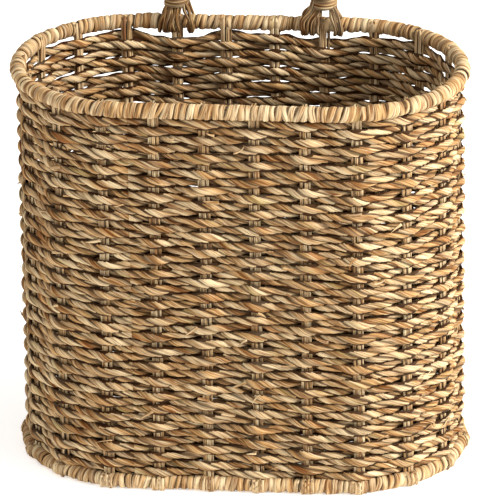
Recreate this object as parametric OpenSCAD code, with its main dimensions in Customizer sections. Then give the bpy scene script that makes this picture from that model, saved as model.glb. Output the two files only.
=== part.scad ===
// Straight-sided oval storage basket: a welded wire frame, flat seagrass stakes, a plain weave of
// seagrass cord, a bound rim and base ring, and a rope hanging loop on the back of the rim.
// Origin: middle of the footprint, on the surface the basket stands on. +Z is up, +Y is the back.

/* [Basket] */
// Length over the rim, side to side
basket_length = 300; // [250:1:360]
// Depth over the rim, front to back
basket_depth = 170; // [140:1:200]
// Height from the surface it stands on to the top of the rim
basket_height = 272; // [220:1:330]

/* [Rim and base ring] */
// Thickness of the bound rim
rim_thickness = 10.5; // [8.5:0.25:13]
// Thickness of the bound ring round the base
base_ring_thickness = 10.5; // [8.5:0.25:13]
// Diameter of the wire inside both rings
ring_wire_d = 4; // [3:0.5:5]
// How far the base ring is pressed flat where it stands
foot_flat = 0.6; // [0.3:0.1:1]

/* [Stakes] */
// Number of stakes in each straight side
side_stakes = 4; // [2:1:4]
// Number of stakes round each end
end_stakes = 7; // [5:1:8]
// Width of a stake, along the wall
stake_width = 9; // [7:0.5:11]
// Thickness of a stake, through the wall
stake_thickness = 3.2; // [3:0.1:4]
// Diameter of the upright wire in each stake
stake_wire_d = 2.4; // [2:0.1:2.6]

/* [Weave] */
// Number of weaver cords up the wall, each going round twice
weaver_count = 23; // [18:1:26]
// Depth of a cord, through the wall, where a stake presses it flat
cord_depth = 4.2; // [3:0.1:5]
// Length of cord that lies flat against a stake
cord_hold = 11; // [9:0.5:13]
// Space left between one weaver cord and the next
row_clearance = 0.3; // [0.1:0.05:0.6]
// Space left between a cord and a stake
stake_clearance = 0.15; // [0.1:0.05:0.3]

/* [Base] */
// Depth of a base cord where a base stake presses it flat
base_cord_depth = 3; // [2:0.1:4]
// Spacing of the base cords, front to back
base_cord_pitch = 5.3; // [4.5:0.1:7]
// Height of the woven base above the surface the basket stands on
base_lift = 0.4; // [0.2:0.1:2]
// Space left between the woven base and the base ring
base_clearance = 0.1; // [0.05:0.05:0.5]

/* [Hanging loop] */
// Diameter of the rope
rope_d = 10; // [7:0.5:12]
// Thickness of a rope turn where it is spread flat round the rim
loop_thickness = 3.2; // [2.5:0.1:4]
// Width of a rope turn round the rim
loop_width = 8; // [6:0.5:9]
// Distance between the two turns at each end of the rope
loop_spread = 21; // [19:0.5:23]
// Clearance of the turns on the rim and over the weave
loop_clearance = 0.4; // [0.3:0.05:0.8]
// Diameter of the core of a whipped knot
knot_core_d = 14; // [11:0.5:17]
// Diameter of the strand that whips a knot
knot_strand_d = 4; // [3:0.5:5]
// Number of turns in a knot's whipping
knot_turns = 4; // [3:1:6]
// Distance from the rim's middle to the underside of a knot
knot_lift = 14; // [12:0.5:18]

/* [Hidden] */
function two_figures(n) = str(n < 10 ? "0" : "", n);
function weaver_name(n) = str("weaver_", two_figures(n));

WEAVERS = [for (n = [1:weaver_count]) weaver_name(n)];

fine = 96;
small = 32;
wire_fit = 0.05;
wire_end = 1.5;
step_every = 5;
cut_over = 1;
base_cord_lead = 0.5;
leg_swell = 0.8;

// Rings and wall, all on one oval: two straight sides of length 2 * straight_half and two half circles
straight_half = (basket_length - basket_depth) / 2;
rim_r = rim_thickness / 2;
base_r = base_ring_thickness / 2;
ring_radius = basket_depth / 2 - rim_r;
rim_z = basket_height - rim_r;
base_ring_z = base_r - foot_flat;
wall_radius = ring_radius - ring_wire_d / 2 - stake_wire_d / 2 - wire_fit;
stake_total = 2 * (side_stakes + end_stakes);
side_gap = 2 * straight_half / side_stakes;

// Woven base
base_half = stake_thickness / 2 + stake_clearance + base_cord_depth;
base_mid_z = base_lift + base_half;
base_radius = ring_radius - base_r - base_clearance;
base_top = max(base_ring_z + base_r, base_mid_z + base_half);
base_cord_half_count = floor((base_radius - base_cord_pitch / 2) / base_cord_pitch);

// Weave
weave_bottom = base_top + row_clearance;
weave_top = rim_z - rim_r - loop_thickness - 2 * loop_clearance;
row_pitch = (weave_top - weave_bottom) / (2 * weaver_count);
cord_offset = stake_thickness / 2 + stake_clearance + cord_depth / 2;

// Hanging loop
anchor_x = straight_half - side_gap / 2;
turn_radius = rim_r + loop_clearance + loop_thickness / 2;
knot_height = knot_turns * knot_strand_d;
rope_start = knot_lift + knot_height;
rope_sides = 10;
// One half of the rope, from a knot to the top: share of anchor_x, then height above the knot
rope_half = [
    [1, 0], [0.99, 10], [0.96, 20], [0.9, 32], [0.82, 44], [0.73, 56], [0.64, 68],
    [0.54, 80], [0.43, 91], [0.3, 99], [0.15, 104], [0, 106]
];
rope_route = concat(
    [for (p = rope_half) [-p[0] * anchor_x, p[1]]],
    [for (i = [len(rope_half) - 2:-1:0]) [rope_half[i][0] * anchor_x, rope_half[i][1]]]
);

// Place of stake i: x, y and the direction of the outward normal, counted from the front left
function stake_place(i) =
    i < side_stakes
        ? [-straight_half + (i + 0.5) * side_gap, -wall_radius, -90]
    : i < side_stakes + end_stakes
        ? end_place(straight_half, -90 + (i + 0.5 - side_stakes) * 180 / end_stakes)
    : i < 2 * side_stakes + end_stakes
        ? [straight_half - (i + 0.5 - side_stakes - end_stakes) * side_gap, wall_radius, 90]
    : end_place(-straight_half, 90 + (i + 0.5 - 2 * side_stakes - end_stakes) * 180 / end_stakes);

function end_place(centre_x, a) = [centre_x + wall_radius * cos(a), wall_radius * sin(a), a];

// Outline of one round of cord: outside every other stake, inside the rest
function round_outline(phase, side_step) = [
    for (i = [0:stake_total - 1])
        for (along = [-cord_hold / 2, cord_hold / 2])
            let (p = stake_place(i))
            let (out = ((i + phase) % 2 == 0 ? cord_offset : -cord_offset) + side_step)
            [p[0] + out * cos(p[2]) - along * sin(p[2]), p[1] + out * sin(p[2]) + along * cos(p[2])]
];

module oval_tube(radius, r, z) {
    translate([0, 0, z]) {
        for (side = [-1, 1]) {
            translate([side * straight_half, 0, 0])
                rotate([0, 0, side * -90])
                    rotate_extrude(angle = 180, $fn = fine)
                        translate([radius, 0])
                            circle(r = r, $fn = small);
            translate([-straight_half, side * radius, 0])
                rotate([0, 90, 0])
                    cylinder(r = r, h = 2 * straight_half, $fn = small);
        }
    }
}

module oval_prism(radius, height) {
    for (side = [-1, 1])
        translate([side * straight_half, 0, 0])
            cylinder(r = radius, h = height, $fn = fine);
    translate([-straight_half, -radius, 0])
        cube([2 * straight_half, 2 * radius, height]);
}

module upright_holes(z_low, z_high) {
    for (i = [0:stake_total - 1])
        translate([stake_place(i)[0], stake_place(i)[1], z_low])
            cylinder(r = stake_wire_d / 2 + wire_fit, h = z_high - z_low, $fn = small);
}

module rim_wire() {
    color("dimgray")
        oval_tube(ring_radius, ring_wire_d / 2, rim_z);
}

module base_ring_wire() {
    color("dimgray")
        oval_tube(ring_radius, ring_wire_d / 2, base_ring_z);
}

module rim_wrap() {
    color("tan")
        difference() {
            oval_tube(ring_radius, rim_r, rim_z);
            oval_tube(ring_radius, ring_wire_d / 2 + wire_fit, rim_z);
            upright_holes(rim_z - 2 * rim_r, rim_z + wire_end + wire_fit);
        }
}

module base_ring_wrap() {
    color("tan")
        difference() {
            oval_tube(ring_radius, base_r, base_ring_z);
            oval_tube(ring_radius, ring_wire_d / 2 + wire_fit, base_ring_z);
            upright_holes(base_ring_z - wire_end - wire_fit, base_ring_z + 2 * base_r);
            base_wire_holes();
            translate([-basket_length, -basket_depth, -base_ring_thickness])
                cube([2 * basket_length, 2 * basket_depth, base_ring_thickness]);
        }
}

module upright_wires() {
    color("dimgray")
        for (i = [0:stake_total - 1])
            translate([stake_place(i)[0], stake_place(i)[1], base_ring_z - wire_end])
                cylinder(d = stake_wire_d, h = rim_z - base_ring_z + 2 * wire_end, $fn = small);
}

// Stakes first to last, cut to sit against both bound rings and bored for the wires
module stakes(first, last) {
    difference() {
        for (i = [first:last])
            translate([stake_place(i)[0], stake_place(i)[1], base_ring_z])
                rotate([0, 0, stake_place(i)[2]])
                    translate([-stake_thickness / 2, -stake_width / 2, 0])
                        cube([stake_thickness, stake_width, rim_z - base_ring_z]);
        for (i = [first:last])
            translate([stake_place(i)[0], stake_place(i)[1], 0])
                cylinder(r = stake_wire_d / 2 + wire_fit, h = basket_height, $fn = small);
        oval_tube(ring_radius, rim_r + wire_fit, rim_z);
        oval_tube(ring_radius, base_r + wire_fit, base_ring_z);
        oval_prism(base_radius + wire_fit, base_top);
        base_wire_holes();
    }
}

module front_stakes() {
    color("burlywood")
        stakes(0, side_stakes - 1);
}

module right_end_stakes() {
    color("burlywood")
        stakes(side_stakes, side_stakes + end_stakes - 1);
}

module back_stakes() {
    color("burlywood")
        stakes(side_stakes + end_stakes, 2 * side_stakes + end_stakes - 1);
}

module left_end_stakes() {
    color("burlywood")
        stakes(2 * side_stakes + end_stakes, stake_total - 1);
}

// One cord, two rounds: the second passes each stake on the other side, and a step joins them
module weaver(n) {
    low = weave_bottom + (n - 1) * 2 * row_pitch;
    color("peru")
        union() {
            translate([0, 0, low])
                cord_round(0);
            translate([0, 0, low + row_pitch])
                cord_round(1);
            translate([0, 0, low])
                cord_step((step_every * n) % stake_total);
        }
}

module cord_round(phase) {
    linear_extrude(height = row_pitch - row_clearance)
        difference() {
            polygon(round_outline(phase, cord_depth / 2));
            polygon(round_outline(phase, -cord_depth / 2));
        }
}

// The step up is half way between stake i and the next, where the two rounds cross
module cord_step(i) {
    p = stake_place(i);
    q = stake_place((i + 1) % stake_total);
    translate([(p[0] + q[0]) / 2, (p[1] + q[1]) / 2, 0])
        rotate([0, 0, atan2(q[1] - p[1], q[0] - p[0])])
            translate([-cord_depth / 2, -cord_depth / 2, 0])
                cube([cord_depth, cord_depth, 2 * row_pitch - row_clearance]);
}

// The base stakes join opposite uprights, front to back, as far out as the base ring leaves room
function base_stake_x() = [
    for (i = [-floor(end_stakes / 2):side_stakes + floor(end_stakes / 2) - 1])
        let (p = stake_place((i + stake_total) % stake_total))
        if (abs(p[0]) - straight_half < base_radius - stake_width)
            [p[0], abs(p[1])]
];

// A bar for each base stake, front to back, ending a given distance short of the two uprights' middles
module base_bars(d, short) {
    for (p = base_stake_x())
        translate([p[0], p[1] - short, base_mid_z])
            rotate([90, 0, 0])
                cylinder(d = d, h = 2 * (p[1] - short), $fn = small);
}

module base_wires() {
    color("dimgray")
        base_bars(stake_wire_d, stake_wire_d / 2 + wire_fit);
}

// Bored a little wider than the uprights' holes, and into them
module base_wire_holes() {
    base_bars(stake_wire_d + 3 * wire_fit, stake_wire_d / 4);
}

module base_stakes() {
    color("burlywood")
        difference() {
            intersection() {
                for (p = base_stake_x())
                    translate([p[0] - stake_width / 2, -base_radius, base_mid_z - stake_thickness / 2])
                        cube([stake_width, 2 * base_radius, stake_thickness]);
                oval_prism(base_radius, base_top);
            }
            base_wire_holes();
        }
}

// Side view of a base cord: over every other base stake, under the rest, with both ends run out flat
function base_cord_line(phase, step) =
    let (xs = base_stake_x())
    let (up = stake_thickness / 2 + stake_clearance + base_cord_depth / 2)
    concat(
        [[-basket_length / 2, (phase == 0 ? 1 : -1) * up + step]],
        [
            for (i = [0:len(xs) - 1])
                for (along = [-1, 1] * (stake_width / 2 + base_cord_lead))
                    [xs[i][0] + along, ((i + phase) % 2 == 0 ? up : -up) + step]
        ],
        [[basket_length / 2, ((len(xs) - 1 + phase) % 2 == 0 ? up : -up) + step]]
    );

module base_cord(phase) {
    low_line = base_cord_line(phase, -base_cord_depth / 2);
    high_line = base_cord_line(phase, base_cord_depth / 2);
    rotate([90, 0, 0])
        linear_extrude(height = base_cord_pitch - row_clearance, center = true)
            polygon(concat(low_line, [for (i = [len(high_line) - 1:-1:0]) high_line[i]]));
}

module base_weave() {
    color("peru")
        intersection() {
            for (j = [-base_cord_half_count:base_cord_half_count])
                translate([0, j * base_cord_pitch, base_mid_z])
                    base_cord(abs(j) % 2);
            oval_prism(base_radius, base_top + cut_over);
        }
}

// Everything on the rope is drawn round the rim's middle, with the rim along X and the rope up Z
module at_anchor(side) {
    translate([side * anchor_x, ring_radius, rim_z])
        children();
}

module turn() {
    rotate([0, 90, 0])
        rotate_extrude($fn = fine)
            translate([turn_radius, 0]) {
                square([loop_thickness, loop_width - loop_thickness], center = true);
                for (end = [-1, 1])
                    translate([0, end * (loop_width - loop_thickness) / 2])
                        circle(d = loop_thickness, $fn = small);
            }
}

// Two flat turns round the rim, whose ends lean together into the knot
module rim_loop() {
    lean = atan2(loop_spread / 2 - knot_core_d / 4, knot_lift - turn_radius);
    leg = knot_lift + loop_width;
    difference() {
        for (end = [-1, 1]) {
            translate([end * loop_spread / 2, 0, 0])
                turn();
            translate([end * loop_spread / 2, 0, turn_radius])
                rotate([0, -end * lean, 0])
                    cylinder(d = loop_thickness + leg_swell, h = leg, $fn = small);
        }
        translate([0, 0, knot_lift])
            cylinder(d = 2 * (knot_core_d + knot_strand_d), h = 2 * leg, $fn = small);
    }
}

module left_rim_loop() {
    color("wheat")
        at_anchor(-1)
            rim_loop();
}

module right_rim_loop() {
    color("wheat")
        at_anchor(1)
            rim_loop();
}

module knot() {
    translate([0, 0, knot_lift])
        rotate_extrude($fn = fine) {
            square([knot_core_d / 2, knot_height]);
            for (i = [0:knot_turns - 1])
                translate([knot_core_d / 2, (i + 0.5) * knot_strand_d])
                    circle(d = knot_strand_d, $fn = small);
        }
}

module left_knot() {
    color("wheat")
        at_anchor(-1)
            knot();
}

module right_knot() {
    color("wheat")
        at_anchor(1)
            knot();
}

// Direction of the rope at point i, from the points either side of it; both ends leave straight up
function rope_heading(i) =
    i == 0 ? 0
    : i == len(rope_route) - 1 ? 180
    : let (step = rope_route[i + 1] - rope_route[i - 1]) atan2(step[0], step[1]);

function rope_ring(i) =
    let (a = rope_heading(i))
    [
        for (s = [0:rope_sides - 1])
            let (across = rope_d / 2 * cos(s * 360 / rope_sides))
            let (over = rope_d / 2 * sin(s * 360 / rope_sides))
            [rope_route[i][0] + across * cos(a), over, rope_route[i][1] - across * sin(a)]
    ];

module hanger_rope() {
    rings = len(rope_route);
    points = [for (i = [0:rings - 1]) each rope_ring(i)];
    sides = [
        for (i = [0:rings - 2])
            for (s = [0:rope_sides - 1])
                let (t = (s + 1) % rope_sides)
                [i * rope_sides + s, i * rope_sides + t, (i + 1) * rope_sides + t, (i + 1) * rope_sides + s]
    ];
    first_end = [for (s = [rope_sides - 1:-1:0]) s];
    last_end = [for (s = [0:rope_sides - 1]) (rings - 1) * rope_sides + s];
    color("wheat")
        translate([0, ring_radius, rim_z + rope_start])
            polyhedron(points = points, faces = concat([first_end, last_end], sides));
}

rim_wire();
rim_wrap();
base_ring_wire();
base_ring_wrap();
upright_wires();
base_wires();
front_stakes();
back_stakes();
left_end_stakes();
right_end_stakes();
base_stakes();
base_weave();
for (n = [1:weaver_count])
    weaver(n);
left_rim_loop();
right_rim_loop();
left_knot();
right_knot();
hanger_rope();
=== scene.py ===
import math
import bpy
import numpy as np
from mathutils import Matrix, Vector


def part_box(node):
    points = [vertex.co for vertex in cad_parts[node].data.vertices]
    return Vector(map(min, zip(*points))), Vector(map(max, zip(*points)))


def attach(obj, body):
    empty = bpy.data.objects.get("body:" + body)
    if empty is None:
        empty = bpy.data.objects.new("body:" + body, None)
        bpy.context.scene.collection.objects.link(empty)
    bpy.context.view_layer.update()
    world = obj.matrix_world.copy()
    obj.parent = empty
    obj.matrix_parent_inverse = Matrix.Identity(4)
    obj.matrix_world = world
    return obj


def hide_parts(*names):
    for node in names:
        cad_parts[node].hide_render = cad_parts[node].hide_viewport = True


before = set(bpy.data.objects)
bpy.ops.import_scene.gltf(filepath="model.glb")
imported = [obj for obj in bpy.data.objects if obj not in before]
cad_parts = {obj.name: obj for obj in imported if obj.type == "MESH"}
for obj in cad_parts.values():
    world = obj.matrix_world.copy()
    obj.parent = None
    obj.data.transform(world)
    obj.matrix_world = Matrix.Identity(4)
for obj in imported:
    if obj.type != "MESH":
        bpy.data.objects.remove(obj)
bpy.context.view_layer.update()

bpy.ops.object.select_all(action="DESELECT")
print("frame loaded,", len(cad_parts), "nodes")

# The oval that rings and wall follow, measured on the frame. A place on it is counted in stakes.
ovalSpec = {
    "sideStakes": 4,  # stakes in each straight side
    "endStakes": 7,  # stakes round each end
}
rimLow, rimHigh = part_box("rim_wrap")
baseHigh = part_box("base_ring_wrap")[1]
stakeLow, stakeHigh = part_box("front_stakes")
rimRadius = (rimHigh.z - rimLow.z) / 2
rimZ = (rimHigh.z + rimLow.z) / 2
baseZ = baseHigh.z - rimRadius
ringRadius = (rimHigh.y - rimLow.y) / 2 - rimRadius
straightHalf = ((rimHigh.x - rimLow.x) - (rimHigh.y - rimLow.y)) / 2
wallRadius = -(stakeLow.y + stakeHigh.y) / 2
wallInset = ringRadius - wallRadius
stakeTotal = 2 * (ovalSpec["sideStakes"] + ovalSpec["endStakes"])
floorGap = 0.0002  # what is lowest stays this far above the floor


def ovalAt(step, radius):
    side, end = ovalSpec["sideStakes"], ovalSpec["endStakes"]
    step = np.mod(np.asarray(step, float), stakeTotal)
    back = step >= side + end
    local = np.where(back, step - side - end, step)
    angle = np.radians(-90 + np.maximum(local - side, 0) * 180 / end)
    flat = local < side
    x = np.where(flat, (2 * local / side - 1) * straightHalf, straightHalf + radius * np.cos(angle))
    y = np.where(flat, -radius, radius * np.sin(angle))
    outX = np.where(flat, 0.0, np.cos(angle))
    outY = np.where(flat, -1.0, np.sin(angle))
    turn = np.where(back, -1.0, 1.0)  # the back half is the front half turned round
    return x * turn, y * turn, outX * turn, outY * turn


def ovalLength(radius):
    return 4 * straightHalf + 2 * math.pi * radius


def stepAt(length, radius):
    side, end = ovalSpec["sideStakes"], ovalSpec["endStakes"]
    lengths = np.cumsum([0, 2 * straightHalf, math.pi * radius, 2 * straightHalf, math.pi * radius])
    laps = np.floor(length / lengths[-1])
    steps = np.cumsum([0, side, end, side, end])
    return np.interp(length - laps * lengths[-1], lengths, steps) + laps * stakeTotal


def ripple(turn, seed, cycles, size):
    draw = np.random.RandomState(seed)
    total = 0
    for cycle in cycles:
        total = total + np.sin(2 * math.pi * (cycle * turn + draw.rand())) * draw.uniform(0.6, 1.0)
    return size * total / math.sqrt(len(cycles))


def uneven(place, seed, size):
    draw = np.random.RandomState(seed)
    values = draw.normal(size=int(np.max(place)) + 3)
    return size * np.interp(place, np.arange(len(values)), values)


# Numbers for each point, put side by side as vectors
def together(*parts):
    return np.stack(np.broadcast_arrays(*parts), -1)


# Painted shade for each side of a strand: every other side lies in a crease between blades and gets the
# first value, the rest get the second.
def paintedSideShade(spec):
    return np.where(np.arange(spec["sides"]) % 2 == 0, *spec["creaseShade"])


def select(*objs):
    bpy.ops.object.select_all(action="DESELECT")
    for obj in objs:
        obj.select_set(True)
    bpy.context.view_layer.objects.active = objs[0]


def inEditMode(obj, *steps):
    select(obj)
    bpy.ops.object.mode_set(mode="EDIT")
    bpy.ops.mesh.select_all(action="SELECT")
    for step in steps:
        step()
    bpy.ops.object.mode_set(mode="OBJECT")


def copyOf(template, count=1):
    copies = []
    for _ in range(count):
        obj = template.copy()
        obj.data = template.data.copy()
        bpy.context.collection.objects.link(obj)
        copies.append(obj)
    select(*copies)
    if count > 1:
        bpy.ops.object.join()
    return copies[0]


def discard(obj):
    bpy.data.objects.remove(obj)


# Moves a piece's points to their places. strand is where a point lies in its own blade of grass, and
# paintedShade is how much painted shade colour it gets.
def setPoints(obj, coords, strand, paintedShade):
    mesh = obj.data
    mesh.vertices.foreach_set("co", np.ascontiguousarray(coords, dtype=np.float32).ravel())
    for name, kind, key, values in (
        ("strand", "FLOAT_VECTOR", "vector", strand),
        ("paintedShade", "FLOAT", "value", paintedShade),
    ):
        layer = mesh.attributes.new(name, kind, "POINT")
        layer.data.foreach_set(key, np.ascontiguousarray(values, dtype=np.float32).ravel())
    mesh.update()


def finishPiece(obj, name, body, material, nodes=(), merge=False):
    obj.name = name
    obj.data.name = name
    obj.data.materials.clear()
    obj.data.materials.append(material)
    steps = [lambda: bpy.ops.mesh.remove_doubles(threshold=0.00001)] if merge else []
    inEditMode(obj, *steps, lambda: bpy.ops.mesh.normals_make_consistent(inside=False))
    bpy.ops.object.shade_smooth()
    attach(obj, body)
    if nodes:
        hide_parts(*nodes)
    obj.select_set(False)
    return obj


# How a cord's plies vary along it
plySpec = {
    "wander": 0.8,  # radians that the twist strays by
    "swell": 0.19,  # change in a ply's thickness
    "bladeSwell": 0.11,  # and in its blades'
    "bladeSpread": 90,  # how differently its blades change
    "part": 0.06,  # change in how far apart the plies are
    # painted shade: towards the cord's middle, and between blades
    "innerShadeReach": 0.6,  # share of a ply's depth that shades towards the middle
    "creaseShade": 0.4,  # shade between blades
    "creaseChange": 0.7,
}


# A straight strand stands on the origin and runs up Z. Each ring of points repeats the first.
class Strand:
    def __init__(self, spec, length, rings, plies=1, capped=True, edgeOn=False):
        self.spec, self.length, self.plies = spec, length, plies
        sides, offset = spec["sides"], spec.get("offset", 0.0)
        tilt = (math.pi / 2, 0, 0) if edgeOn else (0, 0, 0)
        bpy.ops.mesh.primitive_circle_add(vertices=sides, radius=spec["radius"], rotation=tilt)
        self.obj = obj = bpy.context.object
        obj.scale = (spec.get("flat", 1.0), 1, 1)
        obj.location.x = offset
        bpy.ops.object.transform_apply(location=True, rotation=True, scale=True)
        inEditMode(obj, lambda: bpy.ops.mesh.select_all(action="DESELECT"))
        for i in range(0, sides, 2):
            obj.data.vertices[i].select = True
        bpy.ops.object.mode_set(mode="EDIT")
        lobe = spec.get("lobe", 1.0)
        bpy.ops.transform.resize(value=(lobe, lobe, lobe), center_override=(offset, 0, 0))
        bpy.ops.mesh.select_all(action="SELECT")
        for _ in range(plies - 1):
            bpy.ops.mesh.duplicate()
            bpy.ops.transform.rotate(value=2 * math.pi / plies, orient_axis="Z", center_override=(0, 0, 0))
        bpy.ops.object.mode_set(mode="OBJECT")
        rise = obj.modifiers.new("rise", "SCREW")
        rise.angle = 0
        rise.screw_offset = length
        rise.steps = rise.render_steps = rings
        bpy.ops.object.modifier_apply(modifier="rise")
        if capped:
            inEditMode(obj, lambda: bpy.ops.mesh.fill_holes(sides=0))
        self.read()

    def read(self):
        count = self.plies * self.spec["sides"]
        coords = np.empty(len(self.obj.data.vertices) * 3, np.float32)
        self.obj.data.vertices.foreach_get("co", coords)
        rings = coords.astype(float).reshape(-1, count, 3)
        self.along = rings[:, :1, 2] - rings[0, :1, 2] + np.zeros((1, count))
        first = rings[0].reshape(self.plies, -1, 3)
        self.plyAngle = np.repeat(2 * math.pi * np.arange(self.plies) / self.plies, self.spec["sides"])
        if self.plies > 1:  # each ply is measured from its own middle
            angle = np.arctan2(first[..., 1].mean(axis=1), first[..., 0].mean(axis=1))
            self.plyAngle = np.repeat(angle, self.spec["sides"])
            x, y = first[..., 0].ravel(), first[..., 1].ravel()
            self.radial = x * np.cos(self.plyAngle) + y * np.sin(self.plyAngle) - self.spec["offset"]
            self.across = y * np.cos(self.plyAngle) - x * np.sin(self.plyAngle)
        else:
            self.radial, self.across = rings[0, :, 0], rings[0, :, 1]
        self.lift = rings[0, :, 2] - rings[0, :, 2].mean()

    # Plies laid round each other: how far each point is from the cord's middle, two ways, and its painted
    # shade
    def twisted(self, twists, seed, wander=plySpec["wander"]):
        offset, turn = self.spec["offset"], self.along / self.length
        ply = np.repeat(np.arange(self.plies), self.spec["sides"])
        start = np.random.RandomState(seed).uniform(0, 2 * math.pi)
        twist = self.plyAngle + start - 2 * math.pi * twists * turn
        twist = twist + ripple(turn, seed, (5, 11, 19), wander)
        thick = np.zeros_like(turn)
        for p in range(self.plies):
            swell = ripple(turn, seed + 40 + p, (13, 23, 41), plySpec["swell"])
            thick = np.where(ply == p, 1 + swell, thick)
        spread = turn + ply * 0.37 + self.across * plySpec["bladeSpread"]
        thick = thick * (1 + ripple(spread, seed + 70, (17, 37, 59), plySpec["bladeSwell"]))
        centre = offset * (1 + ripple(turn, seed + 90, (9, 21), plySpec["part"]))
        radial, across = self.radial * thick, self.across * thick
        outward = (centre + radial) * np.cos(twist) - across * np.sin(twist)
        up = (centre + radial) * np.sin(twist) + across * np.cos(twist)
        # Painted shade: darker deeper in towards the cord's middle, and along the creases between blades
        reach = self.radial.max() * plySpec["innerShadeReach"]
        innerShade = np.clip((reach - offset - self.radial) / reach, 0, 1)
        bladeShade = plySpec["creaseShade"] * (np.arange(self.radial.size) % 2 == 0)
        bladeShade = bladeShade * (1 + ripple(turn, seed + 110, (7, 19, 31), plySpec["creaseChange"]))
        strand = together(self.along + seed * 0.77 + ply * 0.31, self.radial, self.across)
        return outward, up, strand, np.clip(innerShade + bladeShade, 0, 1)


# Shader maths on sockets: an expression adds its Math nodes, and node() adds any other kind
class Socket:
    def __init__(self, tree, output=None):
        self.tree, self.output = tree, output

    def node(self, kind, settings, values, output=0):
        made = self.tree.nodes.new(kind)
        for key, value in settings.items():
            setattr(made, key, value)
        for key, value in values.items():
            if isinstance(value, Socket):
                self.tree.links.new(value.output, made.inputs[key])
            else:
                made.inputs[key].default_value = value
        return Socket(self.tree, made.outputs[output])

    def math(self, operation, *values):
        return self.node("ShaderNodeMath", {"operation": operation}, dict(enumerate(values)))

    def __add__(self, other):
        return self.math("ADD", self, other)

    def __sub__(self, other):
        return self.math("SUBTRACT", self, other)

    def __mul__(self, other):
        return self.math("MULTIPLY", self, other)

    def __rsub__(self, other):
        return self.math("SUBTRACT", other, self)

    __radd__ = __add__
    __rmul__ = __mul__

    def mix(self, first, second):  # self is the factor
        return self.node("ShaderNodeMix", {"data_type": "RGBA"}, {0: self, 6: first, 7: second}, 2)

    def noise(self, scale, detail=2.0, roughness=0.5):  # self is a vector
        stretched = self.node("ShaderNodeVectorMath", {"operation": "MULTIPLY"}, {0: self, 1: scale})
        values = {"Vector": stretched, "Scale": 1.0, "Detail": detail, "Roughness": roughness}
        return self.node("ShaderNodeTexNoise", {}, values)

    def band(self, start, full, strength=1.0):
        values = {"Value": self, "From Min": start, "From Max": full, "To Max": strength}
        return self.node("ShaderNodeMapRange", {"interpolation_type": "SMOOTHSTEP"}, values)


def rgb(red, green, blue):
    linear = [((c / 255 + 0.055) / 1.055) ** 2.4 if c > 10 else c / 3294.6 for c in (red, green, blue)]
    return (*linear, 1.0)


grassSpec = {
    # shadow is the painted shade colour, laid over the rest by the paintedShade attribute
    "shadow": rgb(40, 15, 3),  # deep in the grooves
    "dark": rgb(102, 59, 23),
    "tan": rgb(184, 144, 94),
    "straw": rgb(222, 199, 158),
    "olive": rgb(156, 144, 90),
    "rust": rgb(162, 96, 54),
    # fineness of each pattern along and across a blade
    "hair": (90.0, 2500.0, 2500.0),
    "streak": (55.0, 1150.0, 1150.0),
    "blade": (34.0, 560.0, 560.0),
    "tint": (31.0, 260.0, 260.0),
    "patch": (19.0, 90.0, 90.0),
    # where each colour starts on its pattern, where it is full, and how strong it gets
    "tanBand": (0.30, 0.62, 1.0),
    "strawBand": (0.40, 0.68, 0.85),
    "oliveBand": (0.60, 0.78, 0.55),
    "rustBand": (0.40, 0.24),
    "darkHair": (0.52, 0.38, 0.8),
    "paleHair": (0.54, 0.66, 0.75),
    "paintedShadeBand": (0.10, 0.95),
    "roughness": 0.62,
    "roughChange": 0.2,
    "specular": 0.05,
    "bump": {"Strength": 0.55, "Distance": 0.0006},
}


def grass(name, pale=0.0, rust=0.5, paintedShade=0.92):
    spec = grassSpec
    material = bpy.data.materials.new(name)
    material.use_nodes = True
    tree = material.node_tree
    surface = tree.nodes["Principled BSDF"]
    start = Socket(tree)
    strand = start.node("ShaderNodeAttribute", {"attribute_name": "strand"}, {}, "Vector")
    paintedShadeAmount = start.node("ShaderNodeAttribute", {"attribute_name": "paintedShade"}, {}, "Fac")
    fine = strand.noise(spec["hair"], 2.0) * 0.4 + strand.noise(spec["streak"], 2.0, 0.6) * 0.6
    blade = strand.noise(spec["blade"], 1.0)
    patch = strand.noise(spec["patch"], 2.0)
    tint = strand.noise(spec["tint"], 1.0)
    colour = blade.band(*spec["tanBand"]).mix(spec["dark"], spec["tan"])
    colour = (patch.band(*spec["strawBand"]) + pale).mix(colour, spec["straw"])
    colour = tint.band(*spec["oliveBand"]).mix(colour, spec["olive"])
    colour = patch.band(*spec["rustBand"], rust).mix(colour, spec["rust"])
    colour = fine.band(*spec["darkHair"]).mix(colour, spec["dark"])
    colour = fine.band(*spec["paleHair"]).mix(colour, spec["straw"])
    # Painted shade: the shadow colour covers the grass where paintedShade is high
    colour = paintedShadeAmount.band(*spec["paintedShadeBand"], paintedShade).mix(colour, spec["shadow"])
    tree.links.new(colour.output, surface.inputs["Base Color"])
    rough = spec["roughness"] + spec["roughChange"] * (1 - blade)
    tree.links.new(rough.output, surface.inputs["Roughness"])
    surface.inputs["Specular IOR Level"].default_value = spec["specular"]
    height = fine * 0.6 + blade * 0.9
    bump = height.node("ShaderNodeBump", {}, {**spec["bump"], "Height": height}, "Normal")
    tree.links.new(bump.output, surface.inputs["Normal"])
    return material


cordGrass = grass("seagrassCord")
stakeGrass = grass("seagrassStake", pale=0.12, rust=0.5)
bindingGrass = grass("seagrassBinding", pale=0.06, rust=0.25, paintedShade=0.88)
ropeGrass = grass("seagrassRope", pale=-0.1)

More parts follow.
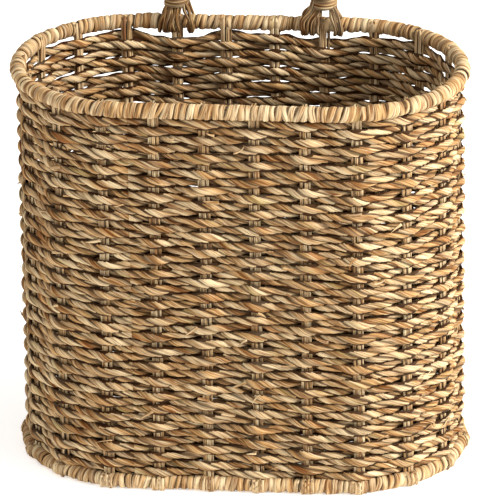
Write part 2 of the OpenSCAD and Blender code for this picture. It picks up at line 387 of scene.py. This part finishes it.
wireSpec = {
    "colour": rgb(58, 50, 44),
    "metallic": 0.6,
    "grain": (400.0, 400.0, 400.0),
    "roughness": 0.3,
    "roughChange": 0.3,
}
wireFinish = bpy.data.materials.new("lacqueredWire")
wireFinish.use_nodes = True
wireSurface = wireFinish.node_tree.nodes["Principled BSDF"]
wireSurface.inputs["Base Color"].default_value = wireSpec["colour"]
wireSurface.inputs["Metallic"].default_value = wireSpec["metallic"]
wirePlace = Socket(wireFinish.node_tree).node("ShaderNodeTexCoord", {}, {}, "Object")
wireRough = wirePlace.noise(wireSpec["grain"]) * wireSpec["roughChange"] + wireSpec["roughness"]
wireFinish.node_tree.links.new(wireRough.output, wireSurface.inputs["Roughness"])
for wireName in ("rim_wire", "base_ring_wire", "upright_wires", "base_wires"):
    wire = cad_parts[wireName]
    wire.data.materials.clear()
    wire.data.materials.append(wireFinish)
print("finishes made")

cameraSpec = {
    "distance": 4.0,
    "height": 23.2,  # degrees above the basket's middle
    "turn": 5.6,  # degrees round to its right
    "roll": -0.8,
    "lens": 438,
    "aim": (0.0051, 0.0012),  # across and up, from the basket's middle
    "clipEnd": 50,
}
raised, turned = math.radians(cameraSpec["height"]), math.radians(cameraSpec["turn"])
flatShare = math.cos(raised)
toCamera = Vector((math.sin(turned) * flatShare, -math.cos(turned) * flatShare, math.sin(raised)))
level = Vector((math.cos(turned), math.sin(turned), 0))
facing = Matrix((level, toCamera.cross(level), toCamera)).transposed()
facing = facing @ Matrix.Rotation(math.radians(cameraSpec["roll"]), 3, "Z")
aim = Vector((0, 0, rimHigh.z / 2)) + facing @ Vector((*cameraSpec["aim"], 0))
bpy.ops.object.camera_add(location=aim + toCamera * cameraSpec["distance"], rotation=facing.to_euler())
camera = bpy.context.object
camera.data.lens = cameraSpec["lens"]
camera.data.clip_end = cameraSpec["clipEnd"]
bpy.context.scene.camera = camera

# The hanging rope: two plies from one knot, up over a hook out of view, and down to the other
ropeSpec = {
    "sides": 12,
    "radius": 0.0027,  # of a ply
    "offset": 0.0023,  # of a ply's middle from the rope's
    "lobe": 0.88,
    "diameter": 0.010,
    "twistLength": 0.036,
    "ringsPerTwist": 16,
    "wander": 0.15,
    # one half: share of the distance from the middle to a knot, then height above the knot in metres
    "half": [
        (1, 0), (0.99, 0.010), (0.96, 0.020), (0.9, 0.032), (0.82, 0.044), (0.73, 0.056), (0.64, 0.068),
        (0.54, 0.080), (0.43, 0.091), (0.3, 0.099), (0.15, 0.104), (0, 0.106),
    ],
}
knotLow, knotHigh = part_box("right_knot")
anchorX = (knotLow.x + knotHigh.x) / 2
ropeY = (knotLow.y + knotHigh.y) / 2
ropeRoute = [(-share * anchorX, ropeY, knotHigh.z + rise) for share, rise in ropeSpec["half"]]
ropeRoute += [(-x, y, z) for x, y, z in reversed(ropeRoute[:-1])]


# Points close together on a smooth line through the given ones
def smoothLine(points, between=12):
    points = np.array(points, float)
    ends = np.vstack([2 * points[:1] - points[1:2], points, 2 * points[-1:] - points[-2:-1]])
    line = []
    for a, b, c, d in zip(ends, ends[1:], ends[2:], ends[3:]):
        for t in np.arange(between) / between:
            bend = (2 * a - 5 * b + 4 * c - d) * t**2 + (3 * b - a - 3 * c + d) * t**3
            line.append(0.5 * (2 * b + (c - a) * t + bend))
    return np.array(line + [points[-1]])


def lineLength(line):
    return np.linalg.norm(np.diff(line, axis=0), axis=1).sum()


# Carries offsets along a line: "aside" points along the fixed axis, "over" square to it and to the line
def alongLine(line, along, aside, over, axis):
    places = np.concatenate([[0], np.cumsum(np.linalg.norm(np.diff(line, axis=0), axis=1))])
    wanted = along * places[-1] / along.max()
    middle = np.stack([np.interp(wanted, places, line[:, k]) for k in range(3)], -1)
    heading = np.gradient(line, axis=0)
    heading /= np.linalg.norm(heading, axis=1)[:, None]
    heading = np.stack([np.interp(wanted, places, heading[:, k]) for k in range(3)], -1)
    square = np.cross(heading, axis)
    square /= np.linalg.norm(square, axis=-1)[..., None]
    side = np.cross(square, heading)
    return middle + side * aside[..., None] + square * over[..., None]


ropeLine = smoothLine(ropeRoute)
ropeLength = lineLength(ropeLine)
ropeTwists = ropeLength / ropeSpec["twistLength"]
rope = Strand(ropeSpec, ropeLength, round(ropeTwists * ropeSpec["ringsPerTwist"]), plies=2)
outward, up, strand, paintedShade = rope.twisted(ropeTwists, 3, ropeSpec["wander"])
setPoints(rope.obj, alongLine(ropeLine, rope.along, outward, up, (0, 1, 0)), strand, paintedShade)
hangerRope = finishPiece(rope.obj, "hangerRope", "hanger", ropeGrass, ["hanger_rope"])

# The rope's ends: each goes twice round the rim with its strands side by side, and is whipped above it
loopSpec = {
    "sides": 8,
    "radius": 0.0013,
    "lobe": 0.78,
    "creaseShade": (0.75, 0.25),
    "clearance": 0.0004,
    "swell": 0.12,  # change in a strand's thickness
    "roll": 0.8,  # radians that it turns over
    "stray": 0.0010,
    # a leg's way down: share of its place along the rim, share of the reach, height from the knot
    "leg": [(0.45, 0.4, 0.004), (0.62, 0.75, -0.003)],
    "legFoot": (0.9, 0.99, 0.0045),  # the same where it meets the rim, height from the rim's middle
    # each strand's place along the rim
    "left": [-0.0110, -0.0086, -0.0062, -0.0038, -0.0014, 0.0010, 0.0082, 0.0106],
    "right": [-0.0150, -0.0128, -0.0106, -0.0084, -0.0062, -0.0040, 0.0070, 0.0092, 0.0114],
    "ringsPerLoop": 46,
}
whipSpec = {
    "sides": 8,
    "radius": 0.0015,
    "lobe": 0.80,
    "creaseShade": (0.7, 0.2),
    "turns": 8,
    "ringsPerTurn": 26,
    "coreRadius": 0.0074,
    "squash": 0.9,  # how flat a turn is pulled
    "stray": 0.0005,
    "lower": 0.0035,  # how far the whipping runs down over the turns
}


def rimLoop(side, name, node):
    reach = rimRadius + loopSpec["clearance"] + loopSpec["radius"]
    knotZ = knotLow.z - rimZ
    loops = []
    for number, x in enumerate(loopSpec["left" if side < 0 else "right"]):
        seed = 20 * number + side
        leg = [(x * share, out * reach, knotZ + rise) for share, out, rise in loopSpec["leg"]]
        share, out, rise = loopSpec["legFoot"]
        leg += [(x * share, out * reach, rise)]
        under = [(x, reach * math.cos(a), -reach * math.sin(a)) for a in np.linspace(0, math.pi, 11)]
        points = leg + under + [(px, -py, pz) for px, py, pz in reversed(leg)]
        line = smoothLine([(side * anchorX + px, ropeY + py, rimZ + pz) for px, py, pz in points], 6)
        strand = Strand(loopSpec, lineLength(line), loopSpec["ringsPerLoop"])
        turn = strand.along / strand.length
        size = 1 + ripple(turn, seed + 25, (1, 3, 5), loopSpec["swell"])
        roll = ripple(turn, seed + 26, (1, 2), loopSpec["roll"])
        across = (strand.across * np.cos(roll) + strand.radial * np.sin(roll)) * size
        radial = (strand.radial * np.cos(roll) - strand.across * np.sin(roll)) * size
        across = across + ripple(turn, seed + 27, (1, 2, 4), loopSpec["stray"])
        coords = alongLine(line, strand.along, across, radial, (1, 0, 0))
        own = together(strand.along + number * 0.4 + side, strand.radial, strand.across)
        setPoints(strand.obj, coords, own, paintedSideShade(loopSpec) + 0 * turn)
        loops.append(strand.obj)
    select(*loops)
    bpy.ops.object.join()
    return finishPiece(loops[0], name, "hanger", ropeGrass, [node])


def whippedKnot(side, name, node):
    turns, bottom = whipSpec["turns"], knotLow.z - whipSpec["lower"]
    rise = knotHigh.z - bottom
    around = 2 * math.pi * turns * whipSpec["coreRadius"]
    coil = Strand(whipSpec, around, turns * whipSpec["ringsPerTurn"])
    turn = coil.along / coil.length
    angle = 2 * math.pi * turns * turn
    out = whipSpec["coreRadius"] + coil.radial * whipSpec["squash"]
    out = out + uneven(turns * 2 * turn, 11 + side, whipSpec["stray"])
    z = bottom + whipSpec["radius"] + turn * (rise - 2 * whipSpec["radius"]) + coil.across
    coords = together(side * anchorX + out * np.cos(angle), ropeY + out * np.sin(angle), z)
    own = together(coil.along + 3 * side, coil.radial, coil.across)
    setPoints(coil.obj, coords, own, paintedSideShade(whipSpec) + 0 * turn)
    return finishPiece(coil.obj, name, "hanger", ropeGrass, [node])


onRope = [
    rimLoop(-1, "leftRimLoop", "left_rim_loop"),
    rimLoop(1, "rightRimLoop", "right_rim_loop"),
    whippedKnot(-1, "leftKnot", "left_knot"),
    whippedKnot(1, "rightKnot", "right_knot"),
]
print("hanging rope made,", round(ropeLength, 3), "m")

# The wall: each weaver is one cord, two rounds, over one stake and under the next
weaveSpec = {
    "sides": 12,
    "radius": 0.0020,  # of a ply
    "flat": 0.84,  # pressed against its neighbour
    "offset": 0.00092,
    "lobe": 0.80,
    "twistLength": 0.0262,
    "ringsPerTwist": 14,
    "swing": 0.0032,  # how far a stake pushes a cord out of the wall's middle
    "hold": 1.7,  # how close to the stake that stays
    "press": 1.02,  # a cord's depth through the wall, as a share of a loose one's
    "spread": 1.03,  # and its height
    "heldFlat": 0.14,  # how much of that depth a stake presses away
    "heldTall": 0.26,  # and how much height it adds
    "upToRim": 0.0034,  # how far the top row fills the space under the rim
    "loopRoom": 0.021,  # except this near to a loop of the rope
    "underLoop": 0.0009,  # where it keeps this far down
    "downToBase": 0.0015,
    "waves": 0.0012,  # how far rows rise and fall together
    "wander": 0.0008,  # and each by itself
    "calmRows": 0.02,  # but less in the rows this near to the rim or the base
    "calmLeast": 0.15,
    "plyShade": 0.78,  # how dark the grooves between plies are
    "middleShade": 0.5,  # how dark the wall's middle is
    "middleDepth": 0.0009,
}
wallLength = ovalLength(wallRadius)
halfTwists = 2 * round(wallLength / weaveSpec["twistLength"]) + 1
# The fibres in a cord's middle, squeezed flat between the rows and painted almost wholly in the shade
# colour, as painted shade in the gaps
pithSpec = {
    "sides": 6,
    "radius": 0.0030,
    "flat": 0.2,
    "rings": 400,
    "change": 0.16,  # in its height along the wall
    "baseRings": 110,
    "baseShade": 0.9,
}
pithRound = Strand(pithSpec, wallLength, pithSpec["rings"], capped=False)
cordRings = round(halfTwists / 2 * weaveSpec["ringsPerTwist"])
cordRound = Strand(weaveSpec, wallLength, cordRings, plies=2, capped=False)
weaverNodes = sorted(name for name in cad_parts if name.startswith("weaver_"))
wallBottom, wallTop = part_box(weaverNodes[0])[0].z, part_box(weaverNodes[-1])[1].z


def layRound(cord, seed, z, phase):
    spec, turn = weaveSpec, cord.along / wallLength
    if cord.plies > 1:
        outward, up, strand, paintedShade = cord.twisted(halfTwists / 2, seed)
        # Painted shade in the grooves between plies
        paintedShade = paintedShade * spec["plyShade"]
    else:
        # The pith gets full painted shade
        outward, paintedShade = cord.radial, 1 + 0 * turn
        up = cord.across * (1 + ripple(turn, seed, (19, 43, 71), pithSpec["change"]))
        strand = together(cord.along, cord.radial, cord.across)
    angle = math.pi * (stepAt(cord.along, wallRadius) - 0.5 + phase)
    held = np.abs(np.cos(angle)) ** spec["hold"]  # 1 at a stake, 0 half way between two
    outward = outward * (spec["press"] - spec["heldFlat"] * held)
    up = up * (spec["spread"] + spec["heldTall"] * held)
    swing = spec["swing"] * np.cos(angle) * held
    slope = -spec["swing"] * math.pi * stakeTotal / wallLength * np.sin(angle) * (1 + spec["hold"]) * held
    x, y, outX, outY = ovalAt(stepAt(cord.along - slope * outward, wallRadius), wallRadius)
    free = np.clip(min(z - wallBottom, wallTop - z) / spec["calmRows"], spec["calmLeast"], 1)
    share = (z - wallBottom) / (wallTop - wallBottom)
    rise = ripple(turn + 0.15 * share, 500, (2, 3, 7), spec["waves"]) * math.sin(4 + 9 * share)
    rise = rise + ripple(turn, seed + 300, (4, 9, 13), spec["wander"])
    besideLoop = np.exp(-(((np.abs(x) - anchorX) / spec["loopRoom"]) ** 4)) * (y > 0)
    lifted = spec["upToRim"] * (1 - besideLoop) - spec["underLoop"] * besideLoop
    z = z + lifted * share**6 - spec["downToBase"] * (1 - share) ** 6
    out = swing + outward
    # Painted shade near the wall's middle plane, seen through the gaps between rows
    shade = spec["middleShade"] * np.exp(-((out / spec["middleDepth"]) ** 2))
    return together(x + outX * out, y + outY * out, z + free * rise + up), strand, np.maximum(paintedShade, shade)


# Short loose blades that lift off a cord
fraySpec = {
    "sides": 4,
    "radius": 0.0011,
    "flat": 0.16,
    "rings": 8,
    "perCord": 10,
    "length": (0.004, 0.012),
    "width": (0.5, 1.2),
    "lift": 0.0022,
    "heading": (-0.25, 0.3),  # the usual slope and how much it differs, in radians
    "curl": 0.35,
    "roll": 0.7,
    "twist": 0.6,
    "taper": 0.85,
    "inside": 0.22,  # share of them on the inner face
}
frayBlade = Strand(fraySpec, 1.0, fraySpec["rings"])


def layBlade(seed, low, high):
    spec, draw = fraySpec, np.random.RandomState(seed)
    size = draw.uniform(*spec["length"])
    u = frayBlade.along
    heading = draw.normal(*spec["heading"]) + u * draw.normal(0, spec["curl"])
    inside = draw.rand() < spec["inside"]
    lift = draw.uniform(0.1, 1) * spec["lift"] * u**2
    roll = draw.uniform(-spec["roll"], spec["roll"]) + u * draw.normal(0, spec["twist"])
    taper = 1.0 - spec["taper"] * u**2
    across = frayBlade.across * np.cos(roll) * taper * draw.uniform(*spec["width"])
    out = weaveSpec["swing"] + weaveSpec["radius"] * 0.9 + lift + frayBlade.across * np.sin(roll) * taper
    out = (-out if inside else out) + frayBlade.radial
    place = draw.rand() * wallLength
    place = place + (u * size * np.cos(heading) - across * np.sin(heading)) * draw.choice([-1, 1])
    z = draw.uniform(low, high) + u * size * np.sin(heading) * 0.8 + across * np.cos(heading)
    x, y, outX, outY = ovalAt(stepAt(place, wallRadius), wallRadius)
    own = together(u * size + seed * 0.61, frayBlade.radial, frayBlade.across)
    return together(x + outX * out, y + outY * out, z), own, 0 * u + 0 * across


for number, node in enumerate(weaverNodes):
    low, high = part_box(node)
    pitch = (high.z - low.z) / 2
    piths, cords = [], []
    for k in (0, 1):
        row = (1000 + 2 * number + k, low.z + pitch * (k + 0.5), k)
        cords.append(layRound(cordRound, *row))
        piths.append(layRound(pithRound, *row))
    cord, pith = copyOf(cordRound.obj, 2), copyOf(pithRound.obj, 2)
    setPoints(cord, *(np.concatenate(parts) for parts in zip(*cords)))
    setPoints(pith, *(np.concatenate(parts) for parts in zip(*piths)))
    blades = [layBlade(5000 + 30 * number + k, low.z, high.z) for k in range(fraySpec["perCord"])]
    frayed = copyOf(frayBlade.obj, fraySpec["perCord"])
    setPoints(frayed, *(np.concatenate(parts) for parts in zip(*blades)))
    select(cord, pith, frayed)
    bpy.ops.object.join()
    name = f"weaverCord{number + 1:02d}"
    finishPiece(cord, name, "basket", cordGrass, [node], merge=True)
discard(cordRound.obj)
discard(pithRound.obj)
discard(frayBlade.obj)
print("wall woven,", len(weaverNodes), "cords")

# Stakes: strands bundled round an upright wire, led over the base ring at the foot
stakeSpec = {
    "sides": 8,
    "radius": 0.00135,  # half of a strand's width
    "flat": 1.0,
    "thin": 0.5,  # its thickness, as a share of its width
    "lobe": 0.84,
    "creaseShade": (0.40, 0.10),
    "grip": 0.7,  # share of a strand's radius between it and what it bends round
    "roll": 0.3,
    "swell": 0.12,
    "stray": (0.0005, 0.0003),  # along the wall and out of it
    "footSpread": 1.25,  # how much wider the bundle is at its foot
    "clearOfBase": 0.008,  # where it is straight, from the base ring up
    "clearOfRim": 0.016,  # and from the rim down
    "rimGap": 0.0003,  # between the rim and a strand led over it
    # each strand's place in the bundle: along the wall, then outwards
    "bundle": [(-0.0024, 0.0006), (0, 0.0014), (0.0024, 0.0006), (-0.0013, -0.0013), (0.0013, -0.0013)],
    "rings": 70,
    "overRim": 0.06,  # share of the front's strands led over the rim
}
footSpec = {"radius": 0.0050, "inset": 0.0012}  # the base ring's binding: thickness, and how far in it sits


def arc(out, z, radius, start, end, count=9):
    angles = np.radians(np.linspace(start, end, count))
    return [(out + radius * math.cos(a), z + radius * math.sin(a)) for a in angles]


def layStake(step, aside, outward, seed):
    spec, draw = stakeSpec, np.random.RandomState(seed)
    grip = spec["radius"] * spec["grip"]
    foot = arc(wallInset - footSpec["inset"], baseZ, footSpec["radius"] + grip, draw.uniform(-70, -30), 60)
    body = [(0, baseHigh.z + spec["clearOfBase"]), (0, rimZ - spec["clearOfRim"])]
    head = [(0.45 * wallInset, rimZ - 0.9 * rimRadius)]
    if step < ovalSpec["sideStakes"] and draw.rand() < spec["overRim"]:
        head = arc(wallInset, rimZ, rimRadius + spec["rimGap"], -70, 130)
    line = smoothLine([(out, 0, z) for out, z in foot + body + head], 5)
    turn = stakeStrand.along / stakeStrand.length
    roll = ripple(turn, seed, (1, 2, 5), spec["roll"])
    size = 1 + ripple(turn, seed + 1, (2, 5, 9), spec["swell"])
    thin = stakeStrand.radial * spec["thin"]
    across = (stakeStrand.across * np.cos(roll) + thin * np.sin(roll)) * size
    radial = (thin * np.cos(roll) - stakeStrand.across * np.sin(roll)) * size
    risen = np.clip((turn - 0.04) / 0.08, 0, 1)
    shift = aside * (spec["footSpread"] + (1 - spec["footSpread"]) * risen)
    shift = shift + ripple(turn, seed + 2, (1, 3, 4), spec["stray"][0])
    stand = outward * risen + ripple(turn, seed + 3, (1, 3, 5), spec["stray"][1])
    places = alongLine(line, stakeStrand.along, shift + across, radial - stand, (0, 1, 0))
    x, y, outX, outY = (float(v) for v in ovalAt(step, wallRadius))
    out, along, z = places[..., 0], places[..., 1], np.maximum(places[..., 2], floorGap)
    coords = together(x + outX * out - outY * along, y + outY * out + outX * along, z)
    own = together(stakeStrand.along + seed * 0.53, stakeStrand.radial, stakeStrand.across)
    strand = copyOf(stakeStrand.obj)
    setPoints(strand, coords, own, paintedSideShade(spec) + 0 * turn)
    return strand


stakeStrand = Strand(stakeSpec, rimHigh.z, stakeSpec["rings"])
sideCount, endCount = ovalSpec["sideStakes"], ovalSpec["endStakes"]
stakeGroups = {
    "frontStakes": ("front_stakes", range(sideCount)),
    "rightEndStakes": ("right_end_stakes", range(sideCount, sideCount + endCount)),
    "backStakes": ("back_stakes", range(sideCount + endCount, 2 * sideCount + endCount)),
    "leftEndStakes": ("left_end_stakes", range(2 * sideCount + endCount, stakeTotal)),
}
for name, (node, steps) in stakeGroups.items():
    bundle = list(enumerate(stakeSpec["bundle"]))
    strands = [layStake(step + 0.5, *spot, 2000 + 9 * step + k) for step in steps for k, spot in bundle]
    select(*strands)
    bpy.ops.object.join()
    finishPiece(strands[0], name, "basket", stakeGrass, [node])
print("stakes set,", stakeTotal)

# Bound rings: a strip of grass wound on, turn beside turn, over a core painted in the shade colour; the
# strip also gets painted shade at its edges, on its back and in its creases
bindingSpec = {
    "sides": 10,
    "radius": 0.0024,  # half of the strip's width
    "flat": 0.40,
    "lobe": 0.86,
    "creaseShade": (0.25, 0),
    "pitch": 0.0041,
    "ringsPerTurn": 14,
    "sizeChange": 0.16,  # from one turn to the next
    "outChange": 0.00025,
    "lean": 0.0009,
    "stray": 0.0004,
    "patternPerTurn": 0.033,
    "edgeShade": 0.45,  # share of its width where the shade towards its edges starts
    "backShade": 0.7,
}
coreSpec = {"sides": 12, "radius": 0.0040, "rings": 140, "under": 0.0012, "shade": 0.8}


def boundRing(z, radius, inset, seed, name, node, rough):
    spec, length = bindingSpec, ovalLength(ringRadius)
    turnCount = round(length / spec["pitch"])
    strip = Strand(spec, length, turnCount * spec["ringsPerTurn"], edgeOn=True)
    number = turnCount * strip.along / length
    angle = 2 * math.pi * number
    whole = np.floor(number + 0.25)  # counts the turns, each from under the ring
    size = 1 + uneven(whole, seed + 1, spec["sizeChange"])
    out = radius - spec["radius"] * spec["flat"] + strip.radial * size
    out = out + uneven(number * 2, seed, spec["outChange"] * rough)
    lean = uneven(number, seed + 2, spec["lean"] * rough) * np.sin(angle)
    place = strip.along + strip.lift * size + uneven(number, seed + 3, spec["stray"] * rough) + lean
    x, y, outX, outY = ovalAt(stepAt(place, ringRadius) + stakeTotal / 2, ringRadius)
    aside = out * np.cos(angle) - inset
    coords = together(x + outX * aside, y + outY * aside, np.maximum(z + out * np.sin(angle), floorGap))
    own = together(number * spec["patternPerTurn"] + whole * 0.37 + seed, strip.radial, strip.lift)
    # Painted shade: darker towards the strip's edges, on its back and in its creases
    edge = np.clip(np.abs(strip.lift) / spec["radius"] - spec["edgeShade"], 0, 1)
    back = np.where(strip.radial < 0, spec["backShade"], 0)
    setPoints(strip.obj, coords, own, np.clip(edge + paintedSideShade(spec) + back, 0, 1) + 0 * number)
    core = Strand(coreSpec, length, coreSpec["rings"])
    x, y, outX, outY = ovalAt(stepAt(core.along, ringRadius) + stakeTotal / 2, ringRadius)
    reach = (radius - coreSpec["under"]) / coreSpec["radius"]
    aside = core.radial * reach - inset
    coords = together(x + outX * aside, y + outY * aside, z + core.across * reach)
    own = together(core.along, core.radial, core.across)
    # The core gets painted shade all over
    setPoints(core.obj, coords, own, coreSpec["shade"] + 0 * core.along)
    select(strip.obj, core.obj)
    bpy.ops.object.join()
    return finishPiece(strip.obj, name, "basket", bindingGrass, [node])


boundRing(rimZ, rimRadius, 0.0, 31, "rimBinding", "rim_wrap", 1.0)
boundRing(baseZ, footSpec["radius"], footSpec["inset"], 47, "baseBinding", "base_ring_wrap", 0.9)
print("rings bound")

# The base: thinner cords from end to end, over and under flat stakes from front to back
baseSpec = {
    "sides": 8,
    "radius": 0.0018,
    "offset": 0.0009,
    "lobe": 0.86,
    "pitch": 0.00546,
    "twistLength": 0.024,
    "ringsPerTwist": 11,
    "swing": 0.0024,
    "press": 0.75,
    "stray": 0.0003,
    "endGap": 0.001,  # between a cord's end and the base ring
    "stakeWidth": 0.009,
    "strandPlaces": (-0.0027, 0, 0.0027),  # a base stake's strands, side by side
    "strandShade": 0.2,
}
panelLow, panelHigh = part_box("base_weave")
panelZ = (panelLow.z + panelHigh.z) / 2
panelRadius = (panelHigh.x - panelLow.x) / 2 - straightHalf
halfEnd = endCount // 2
baseStakeX = [float(ovalAt(i + 0.5, wallRadius)[0]) for i in range(-halfEnd, sideCount + halfEnd)]
baseStakeX = [x for x in baseStakeX if abs(x) - straightHalf < panelRadius - baseSpec["stakeWidth"]]
spacing = (baseStakeX[-1] - baseStakeX[0]) / (len(baseStakeX) - 1)
stakePlaces = [baseStakeX[0] - spacing] + baseStakeX + [baseStakeX[-1] + spacing]
rowCount = int(panelRadius / baseSpec["pitch"] - 0.5)
longest = 2 * (straightHalf + panelRadius)
baseTwists = longest / baseSpec["twistLength"]
baseCord = Strand(baseSpec, longest, round(baseTwists * baseSpec["ringsPerTwist"]), plies=2)
basePith = Strand(pithSpec, longest, pithSpec["baseRings"])


def baseHeight(x, row):
    stake = np.interp(x, stakePlaces, np.arange(len(stakePlaces)))
    return panelZ + baseSpec["swing"] * np.cos(math.pi * (stake + row))


def layBaseCord(row):
    y = row * baseSpec["pitch"]
    reach = straightHalf + math.sqrt(panelRadius**2 - y**2) - baseSpec["endGap"]
    outward, up, strand, paintedShade = baseCord.twisted(baseTwists * reach * 2 / longest, 3000 + row)
    x = (baseCord.along / longest * 2 - 1) * reach
    wander = ripple(baseCord.along / longest, 3100 + row, (1, 2, 5), baseSpec["stray"])
    cord, pith = copyOf(baseCord.obj), copyOf(basePith.obj)
    coords = together(x, y + up + wander, baseHeight(x, row) + outward * baseSpec["press"])
    setPoints(cord, coords, strand, paintedShade)
    x = (basePith.along / longest * 2 - 1) * reach
    coords = together(x, y + basePith.across, baseHeight(x, row) + basePith.radial)
    own = together(basePith.along, basePith.radial, basePith.across)
    # The base's pith gets painted shade all over
    setPoints(pith, coords, own, pithSpec["baseShade"] + 0 * x)
    return cord, pith


def layBaseStrand(x, aside, seed):
    reach = math.sqrt(panelRadius**2 - max(0, abs(x) + baseSpec["stakeWidth"] / 2 - straightHalf) ** 2)
    turn = stakeStrand.along / stakeStrand.length
    across = x + aside + ripple(turn, seed, (1, 3), baseSpec["stray"]) + stakeStrand.across
    coords = together(across, (turn * 2 - 1) * reach, panelZ + stakeStrand.radial)
    own = together(stakeStrand.along + seed * 0.3, stakeStrand.radial, stakeStrand.across)
    strand = copyOf(stakeStrand.obj)
    setPoints(strand, coords, own, baseSpec["strandShade"] + 0 * turn)
    return strand


baseCords = [part for row in range(-rowCount, rowCount + 1) for part in layBaseCord(row)]
discard(baseCord.obj)
discard(basePith.obj)
select(*baseCords)
bpy.ops.object.join()
finishPiece(baseCords[0], "baseCords", "basket", cordGrass, ["base_weave"])
strandSpots = [(x, aside) for x in baseStakeX for aside in baseSpec["strandPlaces"]]
baseStrands = [layBaseStrand(*spot, 3300 + number) for number, spot in enumerate(strandSpots)]
discard(stakeStrand.obj)
select(*baseStrands)
bpy.ops.object.join()
finishPiece(baseStrands[0], "baseStakes", "basket", stakeGrass, ["base_stakes"])
print("base woven")

# The floor and the light
stageSpec = {
    "floor": rgb(244, 243, 241),
    "roughness": 0.9,
    "size": 12.0,
    "glow": 0.5,  # lifts the shadow on the floor
    "litHeight": 0.13,  # what the lights face
    "sky": 0.62,
}
bpy.ops.mesh.primitive_plane_add(size=stageSpec["size"])
floor = bpy.context.object
floor.name = "floor"
paper = bpy.data.materials.new("paper")
paper.use_nodes = True
paperSurface = paper.node_tree.nodes["Principled BSDF"]
paperSurface.inputs["Base Color"].default_value = stageSpec["floor"]
paperSurface.inputs["Roughness"].default_value = stageSpec["roughness"]
paperSurface.inputs["Emission Color"].default_value = stageSpec["floor"]
paperSurface.inputs["Emission Strength"].default_value = stageSpec["glow"]
floor.data.materials.append(paper)

lightSpec = {
    "key": {"place": (2.1, -0.4, 1.3), "size": 0.6, "power": 104},
    "fill": {"place": (-1.3, -1.9, 1.2), "size": 1.6, "power": 15},
    "top": {"place": (0.7, -0.3, 2.3), "size": 1.0, "power": 12},
}
litPoint = Vector((0, 0, stageSpec["litHeight"]))
for name, spec in lightSpec.items():
    lightPlace = Vector(spec["place"])
    facingBasket = (lightPlace - litPoint).to_track_quat("Z", "Y").to_euler()
    bpy.ops.object.light_add(type="AREA", location=lightPlace, rotation=facingBasket)
    light = bpy.context.object
    light.name = name
    light.data.size = spec["size"]
    light.data.energy = spec["power"]
world = bpy.data.worlds.new("studio")
world.use_nodes = True
world.node_tree.nodes["Background"].inputs["Color"].default_value = (1, 1, 1, 1)
world.node_tree.nodes["Background"].inputs["Strength"].default_value = stageSpec["sky"]
bpy.context.scene.world = world
bpy.context.scene.view_settings.view_transform = "Standard"
